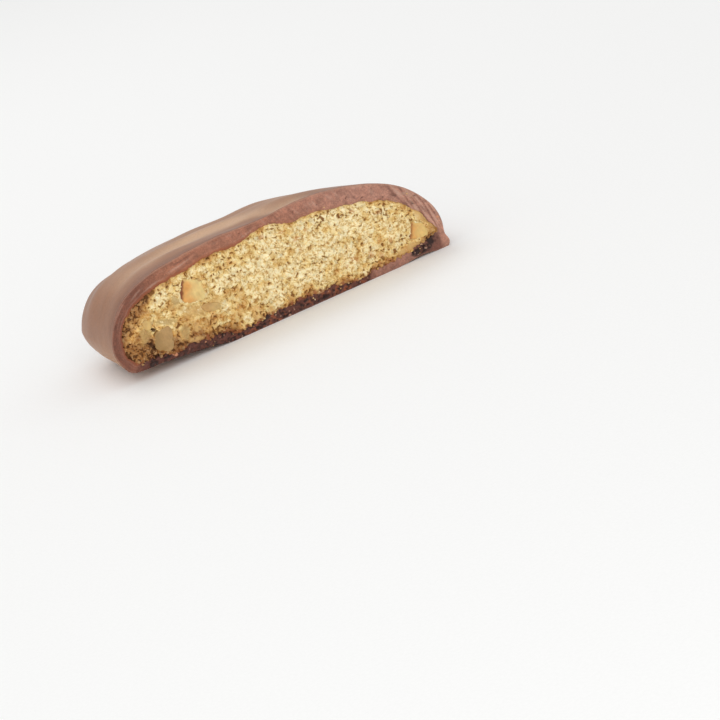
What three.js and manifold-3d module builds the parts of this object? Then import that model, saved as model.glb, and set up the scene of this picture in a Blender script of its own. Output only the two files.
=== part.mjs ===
// Half of a chocolate hazelnut biscuit, cut across with a knife and lying on its base.
//
// Millimetres, +Z up. The cut face looks along -Y and its length lies along X.
// All shapes are first worked out with the cut face on the plane y = 0 and the base
// on z = 0. The finished group is then moved so that the origin is below the middle
// of the half biscuit.
//
// coating       the chocolate shell, open where the knife went through
// crumb         the baked biscuit inside it, with a rough broken face
// hazelnut_1-5  the chopped nut pieces that the knife cut through

import * as THREE from 'three';
import { LoftGeometry } from 'three/addons/geometries/LoftGeometry.js';
import { ImprovedNoise } from 'three/addons/math/ImprovedNoise.js';
import { mergeVertices } from 'three/addons/utils/BufferGeometryUtils.js';
import Module from 'manifold-3d';

const wasm = await Module();
wasm.setup();

// ---------------------------------------------------------------------------
// Driving dimensions
// ---------------------------------------------------------------------------

const DEPTH = 20.65; // from the cut face to the rear of the chocolate
const REAR_WALL = 2; // thickness of the chocolate at the rear
const GAP = 0.3; // clearance between neighbouring pieces

// Corners of the chocolate's outline on the cut face, as [x, z]. They start at the
// pointed foot on the right, go over the top to the left, and come back under the base.
const CHOCOLATE_OUTLINE = [
  [25.5, 0.75], [25.15, 2.0], [25.3, 3.7], [24.85, 6.1], [22.7, 9.35], [19.5, 11.85],
  [15.6, 13.4], [11.0, 14.5], [6.0, 14.9], [0.5, 14.55], [-6.4, 14.75], [-13.0, 14.25],
  [-18.1, 13.4], [-22.1, 11.5], [-24.6, 8.4], [-25.5, 5.3], [-25.0, 3.2], [-24.1, 1.8],
  [-19.0, 1.35], [-12.2, 0.7], [-8.2, 0.0], [-7.0, 0.0], [14.0, 0.0], [15.5, 0.0], [21.5, 0.4],
  [24.9, 0.0],
];

// The biscuit's own outline inside it. Its top has a hump left of the crown, and its
// base dips twice into the chocolate.
const BISCUIT_OUTLINE = [
  [24.1, 2.9], [23.3, 4.9], [22.0, 7.0], [19.6, 9.1], [16.0, 10.7], [11.6, 11.65],
  [7.4, 12.45], [4.6, 12.35], [2.8, 12.85], [0.4, 13.5], [-1.7, 13.05], [-4.0, 12.5],
  [-7.6, 12.8], [-11.6, 12.2], [-16.2, 11.65], [-20.6, 10.3], [-23.0, 8.3], [-24.0, 5.6],
  [-23.8, 3.7], [-22.6, 2.6], [-19.8, 2.5], [-17.4, 1.9], [-14.6, 2.2], [-12.4, 1.75],
  [-10.3, 1.85], [-7.4, 0.85], [-3.6, 1.3], [3.4, 1.55], [7.2, 1.4], [9.8, 0.95],
  [14.0, 1.1], [18.4, 1.35], [22.0, 2.15],
];

// How the outline closes towards the rear.
const OUTLINE_CENTRE = { x: 0, z: 6 }; // directions round the outline are measured here
const REAR_POLE = { x: -3.1, z: 5.7 }; // the point that the sides close towards
const SQUARENESS = { left: 4.8, right: 3.15, crown: 2.4, base: 8 }; // 2 is an ellipse
const SPREAD = { crown: 0.7, base: 2, sides: 6 }; // how sharply one gives way to the next
const LEFT_SHOULDER = { direction: 160.5, width: 8.3, rounder: 0.6 }; // directions in degrees
const SKEW = 0.105; // sideways lean to the left for each millimetre back
const FALL = 0.132; // drop of the right shoulder for each millimetre back
const FALL_START = { x: 13, width: 3.9 };
const TUCK = { inward: 1, below: 6, within: 6 }; // the left side's foot is drawn in behind the cut
const HALF_LENGTH = 25.5;
const CROWN_HEIGHT = 14;
const LEVEL = { drop: 0.15, below: 1.5 }; // the underside set on a flat tray

// Soft waves in the chocolate that ran down before it set. Each has its height, its
// spacing, the direction it runs in and where it starts, in turns.
const RIPPLES = [
  { height: 0.145, spacing: 7.4, across: 0.12, back: 1, start: 0.41 },
  { height: 0.1, spacing: 4.6, across: -0.11, back: 1, start: 0.51 },
  { height: 0.31, spacing: 21, across: 1, back: 0.5, start: -0.04 },
];
const RIPPLE_WANDER = { width: 1.4, length: 48 };
const RIPPLE_FADE = 4; // distance from the cut over which they grow

// The broken face of the biscuit.
const FACE_SETBACK = 0.25; // mean depth below the knife's plane
const FACE_RELIEF = 0.3; // crags and hollows either way
const FACE_CELL = 0.72; // size of a relief facet
const CRAG_WIDTH = 1.7;
const GRAIN_WIDTH = 0.9;
const GRAIN_SHARE = 0.7; // height of the grains as a share of the crags'

// Chopped nut pieces. x and z are the middle on the cut face, half is half the
// width, depth and height, turn is in degrees, and each flat is a chopped side, given
// by its direction in degrees and its distance from the middle.
const HAZELNUTS = [
  { x: -12.0, z: 9.1, half: [2.3, 2.1, 2.2], turn: -20, flats: [[158, 1.9], [0, 1.5], [262, 1.75], [67, 1.5]] },
  { x: -10.4, z: 5.95, half: [1.5, 1.2, 0.8], turn: -20, flats: [[75, 0.6]] },
  { x: -18.2, z: 4.25, half: [1.85, 1.9, 2.0], turn: -15, flats: [[165, 1.35], [240, 1.6], [-13, 1.25], [98, 1.6]] },
  { x: -19.85, z: 7.1, half: [0.8, 0.9, 0.9], turn: 10, flats: [[200, 0.65]] },
  { x: 21.3, z: 3.85, half: [1.8, 1.6, 1.75], turn: 0, flats: [[158, 0.95], [259, 1.0], [24, 1.4], [72, 1.3]] },
];
const NUT_MIDDLE_DEPTH = 0.5; // the middle of each piece lies this far behind the cut
const NUT_SETBACK = 0.05; // the sliced nut face lies this far behind the knife's plane
const NUT_LUMPS = 0.06;

// Facets.
const OUTER_AROUND = 84;
const OUTER_ROWS = 22;
const INNER_AROUND = 70;
const INNER_ROWS = 14;

const COLOURS = { chocolate: 0x8f6a56, crumb: 0xd8bd82, hazelnut: 0xdba55e };

// ---------------------------------------------------------------------------
// Solids from closed meshes
// ---------------------------------------------------------------------------

/** A solid from a closed geometry: shared corners are merged and needle-thin leftovers dropped. */
function solid(geometry) {
  const bare = new THREE.BufferGeometry();
  bare.setAttribute('position', geometry.attributes.position);
  bare.setIndex(geometry.index);
  const merged = mergeVertices(bare, 1e-4);
  const corners = merged.index.array;
  const faces = [];
  for (let i = 0; i < corners.length; i += 3) {
    const [a, b, c] = corners.slice(i, i + 3);
    if (a !== b && b !== c && c !== a) faces.push(a, b, c);
  }
  return new wasm.Manifold(new wasm.Mesh({
    numProp: 3,
    vertProperties: new Float32Array(merged.attributes.position.array),
    triVerts: new Uint32Array(faces),
  }));
}

/** A named mesh of a solid, with its own material. */
function part(name, body, color, roughness) {
  const { vertProperties, triVerts } = body.getMesh();
  const geometry = new THREE.BufferGeometry();
  geometry.setAttribute('position', new THREE.BufferAttribute(vertProperties, 3));
  geometry.setIndex(new THREE.BufferAttribute(triVerts, 1));
  geometry.computeVertexNormals();
  const mesh = new THREE.Mesh(geometry, new THREE.MeshStandardMaterial({ color, roughness, metalness: 0 }));
  mesh.name = name;
  return mesh;
}

// ---------------------------------------------------------------------------
// The domed half
// ---------------------------------------------------------------------------

/** Evenly spaced points of an outline, each moved outwards by grow, clockwise from the front. */
function rim(corners, count, grow = 0) {
  const curve = new THREE.CatmullRomCurve3(
    corners.map(([x, z]) => new THREE.Vector3(x, 0, z)), true, 'centripetal');
  curve.arcLengthDivisions = 1200;
  return Array.from({ length: count }, (_, i) => {
    const along = curve.getTangentAt(1 - i / count);
    const point = curve.getPointAt(1 - i / count);
    point.x += grow * along.z;
    point.z = Math.max(point.z - grow * along.x, 0);
    return point;
  });
}

/** How square the closing curve is in the direction of a rim point. */
function squareness(point) {
  const angle = Math.atan2(point.z - OUTLINE_CENTRE.z, point.x - OUTLINE_CENTRE.x);
  const up = Math.max(Math.sin(angle), 0) ** SPREAD.crown;
  const down = Math.max(-Math.sin(angle), 0) ** SPREAD.base;
  const side = Math.max(1 - up - down, 0);
  const leftness = 1 / (1 + Math.exp(SPREAD.sides * Math.cos(angle)));
  const plan = THREE.MathUtils.lerp(SQUARENESS.right, SQUARENESS.left, leftness);
  const fromShoulder = THREE.MathUtils.radToDeg(angle) - LEFT_SHOULDER.direction;
  const rounder = LEFT_SHOULDER.rounder * Math.exp(-((fromShoulder / LEFT_SHOULDER.width) ** 2));
  return plan * side + SQUARENESS.crown * up + SQUARENESS.base * down - rounder;
}

/** Height of the soft waves in the chocolate at a place on the dome. */
function ripple(x, y) {
  const fullTurn = 2 * Math.PI;
  const bent = y + RIPPLE_WANDER.width * Math.sin(fullTurn * x / RIPPLE_WANDER.length);
  const waves = RIPPLES.map(({ height, spacing, across, back, start }) => (
    height * Math.sin(fullTurn * ((across * x + back * bent) / spacing + start))));
  return waves.reduce((sum, wave) => sum + wave, 0) * Math.min(y / RIPPLE_FADE, 1);
}

/** A height near the base, brought down to the tray. */
function levelled(z) {
  return Math.max(z - LEVEL.drop * Math.max(1 - z / LEVEL.below, 0), 0);
}

/** The place of a rim point once it has turned towards the rear by an angle. */
function domePoint(point, depth, turn, outside) {
  const square = squareness(point);
  const across = Math.cos(turn);
  const back = Math.sin(turn);
  const size = (across ** square + back ** square) ** (1 / square);
  const y = depth * back / size;
  let x = REAR_POLE.x + (point.x - REAR_POLE.x) * across / size;
  let z = REAR_POLE.z + (point.z - REAR_POLE.z) * across / size;
  const height = THREE.MathUtils.clamp(z / CROWN_HEIGHT, 0, 1);
  const rightness = 1 / (1 + Math.exp(-(x - FALL_START.x) / FALL_START.width));
  z += height * ((outside ? ripple(x, y) : 0) - FALL * rightness * y);
  const leftness = THREE.MathUtils.clamp(-x / HALF_LENGTH, 0, 1);
  const lowness = Math.max(1 - z / TUCK.below, 0);
  x += TUCK.inward * leftness * lowness * Math.min(y / TUCK.within, 1) - SKEW * y;
  return new THREE.Vector3(x, y, outside ? levelled(z) : z);
}

/** The closed dome behind a rim. Its flat front stands reach in front of the cut. */
function dome(edge, depth, rows, { reach = 0, outside = false } = {}) {
  const front = new THREE.Vector3(OUTLINE_CENTRE.x, -reach, OUTLINE_CENTRE.z);
  const sections = [edge.map(() => front)];
  if (reach > 0) sections.push(edge.map((p) => new THREE.Vector3(p.x, -reach, p.z)));
  for (let row = 0; row < rows; row += 1) {
    const turn = (Math.PI / 2) * (row / rows);
    sections.push(edge.map((p) => domePoint(p, depth, turn, outside)));
  }
  const rear = domePoint(edge[0], depth, Math.PI / 2, outside);
  sections.push(edge.map(() => rear));
  return solid(new LoftGeometry(sections));
}

// ---------------------------------------------------------------------------
// The chocolate
// ---------------------------------------------------------------------------

const REACH = 2; // how far a cutting solid stands in front of the cut

const cavity = dome(
  rim(BISCUIT_OUTLINE, INNER_AROUND, GAP / 2), DEPTH - REAR_WALL, INNER_ROWS, { reach: REACH });
const coating = dome(rim(CHOCOLATE_OUTLINE, OUTER_AROUND), DEPTH, OUTER_ROWS, { outside: true })
  .subtract(cavity);

// ---------------------------------------------------------------------------
// The nut pieces
// ---------------------------------------------------------------------------

const noise = new ImprovedNoise();

/** One chopped piece, as a lump with flat sides. grow makes its pocket. */
function nutLump({ x, z, half, turn, flats }, grow = 0) {
  const geometry = new THREE.IcosahedronGeometry(1, grow > 0 ? 1 : 2);
  const position = geometry.attributes.position;
  const point = new THREE.Vector3();
  const angle = THREE.MathUtils.degToRad(turn);
  for (let i = 0; i < position.count; i += 1) {
    point.fromBufferAttribute(position, i);
    const lumps = 1 + NUT_LUMPS * noise.noise(2 * point.x + x, 2 * point.y, 2 * point.z + z);
    point.multiplyScalar(lumps);
    point.set(point.x * (half[0] + grow), point.y * (half[1] + grow), point.z * (half[2] + grow));
    point.applyAxisAngle(new THREE.Vector3(0, -1, 0), angle);
    for (const [direction, distance] of flats) {
      const out = THREE.MathUtils.degToRad(direction);
      const past = point.x * Math.cos(out) + point.z * Math.sin(out) - distance - grow;
      if (past <= 0) continue;
      point.x -= past * Math.cos(out);
      point.z -= past * Math.sin(out);
    }
    position.setXYZ(i, point.x + x, point.y + NUT_MIDDLE_DEPTH, point.z + z);
  }
  return solid(geometry);
}

/** Everything in front of the sliced faces of the nuts. */
const inFront = new THREE.BoxGeometry(4 * DEPTH, DEPTH, 2 * DEPTH)
  .translate(0, NUT_SETBACK - DEPTH / 2, CROWN_HEIGHT / 2);
const knifeSpace = solid(inFront);

const hazelnuts = HAZELNUTS.map((nut) => nutLump(nut).subtract(knifeSpace));

// ---------------------------------------------------------------------------
// The biscuit
// ---------------------------------------------------------------------------

/** Depth of the broken face at a place, as crags with finer grains on them. */
function brokenDepth(x, z) {
  const crags = noise.noise(x / CRAG_WIDTH, 0.5, z / CRAG_WIDTH);
  const grains = noise.noise(x / GRAIN_WIDTH, 7.5, z / GRAIN_WIDTH);
  return FACE_SETBACK + FACE_RELIEF * THREE.MathUtils.clamp(crags + GRAIN_SHARE * grains, -1, 1);
}

/** A block with the broken face as its front, large enough to hold the whole biscuit. */
function brokenBlock() {
  const width = 2.4 * DEPTH;
  const height = 0.8 * DEPTH;
  const geometry = new THREE.BoxGeometry(
    width, 2 * DEPTH, height, Math.round(width / FACE_CELL), 1, Math.round(height / FACE_CELL));
  geometry.translate(0, DEPTH, height / 2 - REACH / 2);
  const position = geometry.attributes.position;
  for (let i = 0; i < position.count; i += 1) {
    if (position.getY(i) > DEPTH) continue;
    position.setY(i, brokenDepth(position.getX(i), position.getZ(i)));
  }
  return solid(geometry);
}

let crumb = dome(
  rim(BISCUIT_OUTLINE, INNER_AROUND, -GAP / 2), DEPTH - REAR_WALL - GAP, INNER_ROWS, { reach: REACH })
  .intersect(brokenBlock());
for (const nut of HAZELNUTS) crumb = crumb.subtract(nutLump(nut, GAP + NUT_LUMPS));

// ---------------------------------------------------------------------------
// The half biscuit
// ---------------------------------------------------------------------------

const biscuit = new THREE.Group();
biscuit.add(part('coating', coating, COLOURS.chocolate, 0.45));
biscuit.add(part('crumb', crumb, COLOURS.crumb, 0.95));
hazelnuts.forEach((body, i) => {
  biscuit.add(part(`hazelnut_${i + 1}`, body, COLOURS.hazelnut, 0.6));
});

// The origin lies on the base, below the middle of the whole.
const extent = new THREE.Box3().setFromObject(biscuit);
const middle = extent.getCenter(new THREE.Vector3());
biscuit.position.set(-middle.x, -middle.y, -extent.min.z);

export default biscuit;
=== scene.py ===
# %% [markdown]
# # Half a chocolate hazelnut biscuit
#
# A thick oval biscuit with chopped hazelnuts was coated in milk chocolate and cut across with a
# knife. This notebook dresses one half of it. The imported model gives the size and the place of
# each piece, and here each gets its fine shape and its finish.

# %% The fixed frame
import math

import bmesh
import bpy
import numpy as np
from mathutils import Matrix, Vector, noise


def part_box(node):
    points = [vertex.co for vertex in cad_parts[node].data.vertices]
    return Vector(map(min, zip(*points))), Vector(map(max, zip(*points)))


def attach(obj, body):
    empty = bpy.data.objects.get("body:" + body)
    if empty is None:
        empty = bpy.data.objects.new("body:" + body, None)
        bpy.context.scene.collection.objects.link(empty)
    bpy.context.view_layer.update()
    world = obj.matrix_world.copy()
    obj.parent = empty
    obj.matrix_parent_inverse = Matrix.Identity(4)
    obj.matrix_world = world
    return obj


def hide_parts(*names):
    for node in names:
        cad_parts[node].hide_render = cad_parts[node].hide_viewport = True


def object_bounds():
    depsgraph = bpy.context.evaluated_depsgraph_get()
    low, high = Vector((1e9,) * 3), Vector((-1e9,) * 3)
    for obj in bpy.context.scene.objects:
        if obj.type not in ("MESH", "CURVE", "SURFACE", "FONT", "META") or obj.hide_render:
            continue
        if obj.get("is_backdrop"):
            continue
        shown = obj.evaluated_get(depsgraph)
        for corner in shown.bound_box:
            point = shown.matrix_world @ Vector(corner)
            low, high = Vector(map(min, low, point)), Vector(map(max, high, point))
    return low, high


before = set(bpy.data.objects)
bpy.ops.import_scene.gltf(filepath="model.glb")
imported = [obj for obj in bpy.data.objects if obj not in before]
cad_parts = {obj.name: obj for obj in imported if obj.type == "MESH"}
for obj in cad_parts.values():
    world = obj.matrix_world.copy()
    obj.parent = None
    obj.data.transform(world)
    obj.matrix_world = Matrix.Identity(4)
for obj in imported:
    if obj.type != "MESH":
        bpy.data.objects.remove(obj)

solid_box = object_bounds()
print("nodes of the frame:", sorted(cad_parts))

# %% [markdown]
# ## Where things are
#
# Everything is worked out in millimetres, with the cut on the plane y = 0, the middle of the
# cut at x = 0 and the base on z = 0. The frame has its origin under the middle of the half, so
# each finished mesh is moved over by one step, which is read from the box of the chocolate.

# %% From the cut to the frame
MM = 0.001
FOOT = 25.5  # the chocolate's pointed foot, right of the middle of the cut
coating_low, coating_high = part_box("coating")
cut_in_frame = np.array([coating_high.x / MM - FOOT, coating_low.y / MM, 0.0])


def in_frame(points):
    """Points beside the cut, in millimetres, as points of the frame, in metres."""
    return (np.asarray(points, float) + cut_in_frame) * MM


def placed(name, data):
    """A new object of the scene that shows a mesh, a lamp or a camera."""
    thing = bpy.data.objects.new(name, data)
    bpy.context.scene.collection.objects.link(thing)
    return thing


print("middle of the cut in the frame, mm:", np.round(cut_in_frame, 3))

# %% [markdown]
# ## The camera
#
# The half was photographed from a little left of the cut and a little above it, with the camera
# rolled so that the cut runs uphill to the right. These angles, the distance and the place of
# one point in the picture set the camera. A long lens gives the mild perspective.

# %% Camera
PICTURE = 720  # width and height of the photograph, in pixels
SENSOR = 36.0
FOCAL = 134.44
AZIMUTH, ELEVATION, ROLL = (math.radians(a) for a in (15.38, 17.99, 19.60))
DISTANCE = 374.11
AIM = np.array([0.0, 0.0, 7.0])  # a point of the cut
AIM_PIXEL = (275.7, 270.0)  # where it shows in the photograph
NEAREST, FARTHEST = 0.01, 20  # what the camera sees, in metres

towards_camera = np.array([
    -math.sin(AZIMUTH) * math.cos(ELEVATION),
    -math.cos(AZIMUTH) * math.cos(ELEVATION),
    math.sin(ELEVATION)])
level_right = np.array([math.cos(AZIMUTH), -math.sin(AZIMUTH), 0.0])
level_up = np.cross(towards_camera, level_right)
camera_right = level_right * math.cos(ROLL) - level_up * math.sin(ROLL)
camera_up = level_right * math.sin(ROLL) + level_up * math.cos(ROLL)
per_pixel = SENSOR / FOCAL / PICTURE * DISTANCE
camera_place = (AIM + towards_camera * DISTANCE
                - camera_right * (AIM_PIXEL[0] - PICTURE / 2) * per_pixel
                - camera_up * (PICTURE / 2 - AIM_PIXEL[1]) * per_pixel)

camera = placed("camera", bpy.data.cameras.new("camera"))
camera.data.sensor_width = SENSOR
camera.data.lens = FOCAL
camera.data.clip_start, camera.data.clip_end = NEAREST, FARTHEST
turn = Matrix([camera_right, camera_up, towards_camera]).transposed()
camera.matrix_world = Matrix.Translation(in_frame(camera_place)) @ turn.to_4x4()
bpy.context.scene.camera = camera
print(f"one pixel covers {per_pixel:.3f} mm of the cut")

# %% [markdown]
# ## Outlines
#
# The knife shows two outlines, the chocolate's and the biscuit's inside it. Each is a smooth
# closed curve through a few corners. A Bezier curve would need handles too, but a centripetal
# Catmull-Rom curve passes through its corners by itself and never loops. Both start at their
# right end, go over the top to the left end, and come back under the base.

# %% Corners of the outlines
CHOCOLATE_OUTLINE = [
    (25.5, 0.75), (25.15, 2.0), (25.3, 3.7), (24.85, 6.1), (22.7, 9.35), (19.5, 11.85),
    (15.6, 13.4), (11.0, 14.5), (6.0, 14.9), (0.5, 14.55), (-6.4, 14.75), (-13.0, 14.25),
    (-18.1, 13.4), (-22.1, 11.5), (-24.6, 8.4), (-25.5, 5.3), (-25.0, 3.2), (-24.1, 1.8),
    (-19.0, 1.35), (-12.2, 0.7), (-8.2, 0.0), (-7.0, 0.0), (14.0, 0.0), (15.5, 0.0),
    (21.5, 0.4), (24.9, 0.0)]
CHOCOLATE_LEFT_END = 15  # the corner that is furthest left
BISCUIT_OUTLINE = [
    (24.1, 2.9), (23.3, 4.9), (22.0, 7.0), (19.6, 9.1), (16.0, 10.7), (11.6, 11.65),
    (7.4, 12.45), (4.6, 12.35), (2.8, 12.85), (0.4, 13.5), (-1.7, 13.05), (-4.0, 12.5),
    (-7.6, 12.8), (-11.6, 12.2), (-16.2, 11.65), (-20.6, 10.3), (-23.0, 8.3), (-24.0, 5.6),
    (-23.8, 3.7), (-22.6, 2.6), (-19.8, 2.5), (-17.4, 1.9), (-14.6, 2.2), (-12.4, 1.75),
    (-10.3, 1.85), (-7.4, 0.85), (-3.6, 1.3), (3.4, 1.55), (7.2, 1.4), (9.8, 0.95),
    (14.0, 1.1), (18.4, 1.35), (22.0, 2.15)]
BISCUIT_LEFT_END = 17
STEPS_PER_CORNER = 24


def through(corners):
    """Points of the closed centripetal curve through the corners."""
    points = []
    for i in range(len(corners)):
        p0, p1, p2, p3 = (np.array(corners[(i + k) % len(corners)]) for k in (-1, 0, 1, 2))
        d0, d1, d2 = (math.sqrt(np.linalg.norm(b - a)) for a, b in ((p0, p1), (p1, p2), (p2, p3)))
        leave = ((p1 - p0) / d0 - (p2 - p0) / (d0 + d1) + (p2 - p1) / d1) * d1
        arrive = ((p2 - p1) / d1 - (p3 - p1) / (d1 + d2) + (p3 - p2) / d2) * d1
        t = np.linspace(0, 1, STEPS_PER_CORNER, endpoint=False)[:, None]
        points.append(p1 + leave * t + (3 * (p2 - p1) - 2 * leave - arrive) * t ** 2
                      + (2 * (p1 - p2) + leave + arrive) * t ** 3)
    return np.vstack(points)


def evenly(points, count):
    """The same line with count points at equal steps, its two ends kept."""
    lengths = np.r_[0, np.cumsum(np.linalg.norm(np.diff(points, axis=0), axis=1))]
    places = np.linspace(0, lengths[-1], count)
    return np.column_stack([np.interp(places, lengths, points[:, k]) for k in (0, 1)])


def over_and_under(corners, left_end, count):
    """The curve's upper and lower line, each from the right end to the left end."""
    ring = through(corners)
    split = left_end * STEPS_PER_CORNER
    upper = evenly(ring[:split + 1], count)
    lower = evenly(np.vstack([ring[split:], ring[:1]]), count)
    return upper, lower[::-1]


def closed(upper, lower):
    """One ring from the right end over the top and back under the base."""
    return np.vstack([upper[:-1], lower[::-1][:-1]])


def outward(ring):
    """Unit directions out of a ring, at each of its points."""
    forward = np.roll(ring, -1, axis=0) - np.roll(ring, 1, axis=0)
    forward /= np.linalg.norm(forward, axis=1)[:, None]
    return np.column_stack([forward[:, 1], -forward[:, 0]])


# %% [markdown]
# ## Random but the same each time
#
# Cut chocolate and broken crumb are uneven at several sizes at once. Blender's gradient noise
# gives a smooth field of any size, the same on each run. Other helpers say which points lie in
# an oval place of the cut, and how far they lie in a direction.

# %% Noise by size, and places on the cut
NOISE_REACH = 1.6  # brings the noise to about -1 to 1
RAGGED, RAGGED_SIZE = 0.3, 0.45  # how far a spot's edge strays, and its lumps, for its size


def uneven(points, size, seed=0.0):
    """Smooth noise from about -1 to 1 with lumps of size millimetres, one width or three."""
    scaled = np.asarray(points, float) / np.asarray(size, float) + seed
    return np.array([noise.noise(Vector(p)) for p in scaled]) * NOISE_REACH


def smoothstep(low, high, value):
    """0 below low, 1 above high, and a soft step between."""
    t = np.clip((value - low) / (high - low), 0, 1)
    return t * t * (3 - 2 * t)


def follow(x, stops):
    """A value that changes with x between stops."""
    return np.interp(x, list(stops), list(stops.values()))


def oval(points, x, z, wide, high, turned):
    """How far points are from the middle of an oval of the cut, where 1 is its edge."""
    c, s = math.cos(math.radians(turned)), math.sin(math.radians(turned))
    dx, dz = points[:, 0] - x, points[:, 2] - z
    return np.hypot((dx * c + dz * s) / wide, (dz * c - dx * s) / high)


def spots(points, places, soft=0.25):
    """1 inside ovals and 0 outside. A place is x, z, half width, half height and turn."""
    total = np.zeros(len(points))
    for x, z, wide, high, turned in places:
        reach = oval(points, x, z, wide, high, turned)
        near = reach < 2
        reach[near] += RAGGED * uneven(points[near], RAGGED_SIZE * (wide + high), x)
        total = np.maximum(total, 1 - smoothstep(1 - soft, 1 + soft, reach))
    return total


def towards(points, degrees):
    """How far points lie in a direction of the cut, where 0 is right and 90 up, and it."""
    out = math.radians(degrees)
    reach = points[:, 0] * math.cos(out) + points[:, 2] * math.sin(out)
    return reach, (math.cos(out), 0, math.sin(out))


# %% [markdown]
# ## The dome
#
# Behind the cut the outline closes towards the rear. From above the half is a rounded
# rectangle, and from the end its crown is nearly an ellipse and its underside flat. A
# superellipse does this with one number, its squareness, which changes with the direction round
# the outline. The frame's solid follows the same rule.

# %% The dome's rule
DEPTH = 20.65  # from the cut to the rear of the chocolate
REAR_WALL = 2.0
OUTLINE_CENTRE = (0.0, 6.0)
REAR_POLE = (-3.1, 5.7)
PLAN_LEFT, PLAN_RIGHT, CROWN, BASE = 4.8, 3.15, 2.4, 8.0  # squareness, where 2 is an ellipse
CROWN_SPREAD, BASE_SPREAD, SIDE_CHANGE = 0.7, 2, 6  # how soon one gives way to the next
LEFT_SHOULDER, SHOULDER_WIDTH, ROUNDER = 160.5, 8.3, 0.6  # directions in degrees
SKEW = 0.105  # the rear lies this much further left, in each mm of depth
FALL, FALL_START, FALL_WIDTH = 0.132, 13.0, 3.9  # the crown falls away behind the right end
TUCK, TUCK_BELOW = 1.0, 6.0  # the left side tucks in under the dome
HALF_LENGTH = 25.5
CROWN_HEIGHT = 14.0
BEND, BEND_LENGTH = 1.4, 48  # the waves of the chocolate aren't straight
WAVES_FULL = 4  # mm behind the cut
RIPPLES = [  # height, spacing, how far each runs across and back, and its start in turns
    (0.145, 7.4, 0.12, 1.0, 0.41),
    (0.1, 4.6, -0.11, 1.0, 0.51),
    (0.31, 21.0, 1.0, 0.5, -0.04),
]
LEVEL_DROP, LEVEL_BELOW = 0.15, 1.5  # flattens the underside


def ripple(x, y):
    """Height of the soft waves in the chocolate that ran down before it set."""
    bent = y + BEND * np.sin(2 * np.pi * x / BEND_LENGTH)
    waves = sum(height * np.sin(2 * np.pi * ((across * x + back * bent) / spacing + start))
                for height, spacing, across, back, start in RIPPLES)
    return waves * np.minimum(y / WAVES_FULL, 1)


def dome_row(ring, depth, turn, outside=False):
    """The ring once it has turned towards the rear by an angle in radians."""
    x, z = ring[:, 0], ring[:, 1]
    angle = np.arctan2(z - OUTLINE_CENTRE[1], x - OUTLINE_CENTRE[0])
    up = np.maximum(np.sin(angle), 0) ** CROWN_SPREAD
    down = np.maximum(-np.sin(angle), 0) ** BASE_SPREAD
    leftness = 1 / (1 + np.exp(SIDE_CHANGE * np.cos(angle)))
    plan = PLAN_RIGHT + (PLAN_LEFT - PLAN_RIGHT) * leftness
    rounder = ROUNDER * np.exp(-((np.degrees(angle) - LEFT_SHOULDER) / SHOULDER_WIDTH) ** 2)
    square = plan * np.maximum(1 - up - down, 0) + CROWN * up + BASE * down - rounder
    across, back = math.cos(turn), math.sin(turn)
    size = (across ** square + back ** square) ** (1 / square)
    y = depth * back / size
    x = REAR_POLE[0] + (x - REAR_POLE[0]) * across / size
    z = REAR_POLE[1] + (z - REAR_POLE[1]) * across / size
    height = np.clip(z / CROWN_HEIGHT, 0, 1)
    rightness = 1 / (1 + np.exp(-(x - FALL_START) / FALL_WIDTH))
    z = z + height * ((ripple(x, y) if outside else 0) - FALL * rightness * y)
    tuck = TUCK * np.clip(-x / HALF_LENGTH, 0, 1) * np.maximum(1 - z / TUCK_BELOW, 0)
    x = x + tuck * np.minimum(y / TUCK_BELOW, 1) - SKEW * y
    if outside:
        z = np.maximum(z - LEVEL_DROP * np.maximum(1 - z / LEVEL_BELOW, 0), 0)
    return np.column_stack([x, y, z])


def rows_behind(ring, depth, count):
    """Rows from the cut to the rear, the last of them a single point."""
    rows = [dome_row(ring, depth, t) for t in np.linspace(0, math.pi / 2, count + 1)[1:]]
    return rows[:-1] + [rows[-1][:1]]


# %% [markdown]
# ## Meshes from rows
#
# The chocolate and the crumb are wrapped surfaces: row after row of points, closed by a single
# point at each end. Numbers that the material needs at each point, such as how deep a pore is,
# are kept as attributes.

# %% Building a mesh
SAME_PLACE = 1e-7  # metres


def mesh_object(name, points, faces, materials, numbers, finishes=None):
    """An object from points in mm. finishes is the number of each face's material."""
    mesh = bpy.data.meshes.new(name)
    mesh.from_pydata(in_frame(points).tolist(), [], faces)
    for attribute, values in numbers.items():
        mesh.attributes.new(attribute, "FLOAT", "POINT").data.foreach_set(
            "value", np.asarray(values, np.float32))
    for material in materials:
        mesh.materials.append(material)
    if finishes is not None:
        mesh.polygons.foreach_set("material_index", finishes)
    tidy = bmesh.new()
    tidy.from_mesh(mesh)
    bmesh.ops.remove_doubles(tidy, verts=tidy.verts, dist=SAME_PLACE)
    bmesh.ops.recalc_face_normals(tidy, faces=tidy.faces)
    tidy.to_mesh(mesh)
    tidy.free()
    mesh.polygons.foreach_set("use_smooth", [True] * len(mesh.polygons))
    return placed(name, mesh)


def wrapped(rows):
    """Points and faces of rows that each close on themselves. An end row may be one point."""
    starts = np.cumsum([0] + [len(row) for row in rows])
    faces = []
    for a, b, row, next_row in zip(starts, starts[1:], rows, rows[1:]):
        near, far = len(row), len(next_row)
        for j in range(max(near, far)):
            face = (a + j % near, a + (j + 1) % near, b + (j + 1) % far, b + j % far)
            faces.append(tuple(dict.fromkeys(int(i) for i in face)))
    return np.vstack(rows), faces


# %% [markdown]
# ## Nodes
#
# Every material and geometry tree below is built with add. It adds a node with its settings,
# and fills its inputs with values, with outputs, or with nodes, whose first output is then
# meant.

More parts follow.
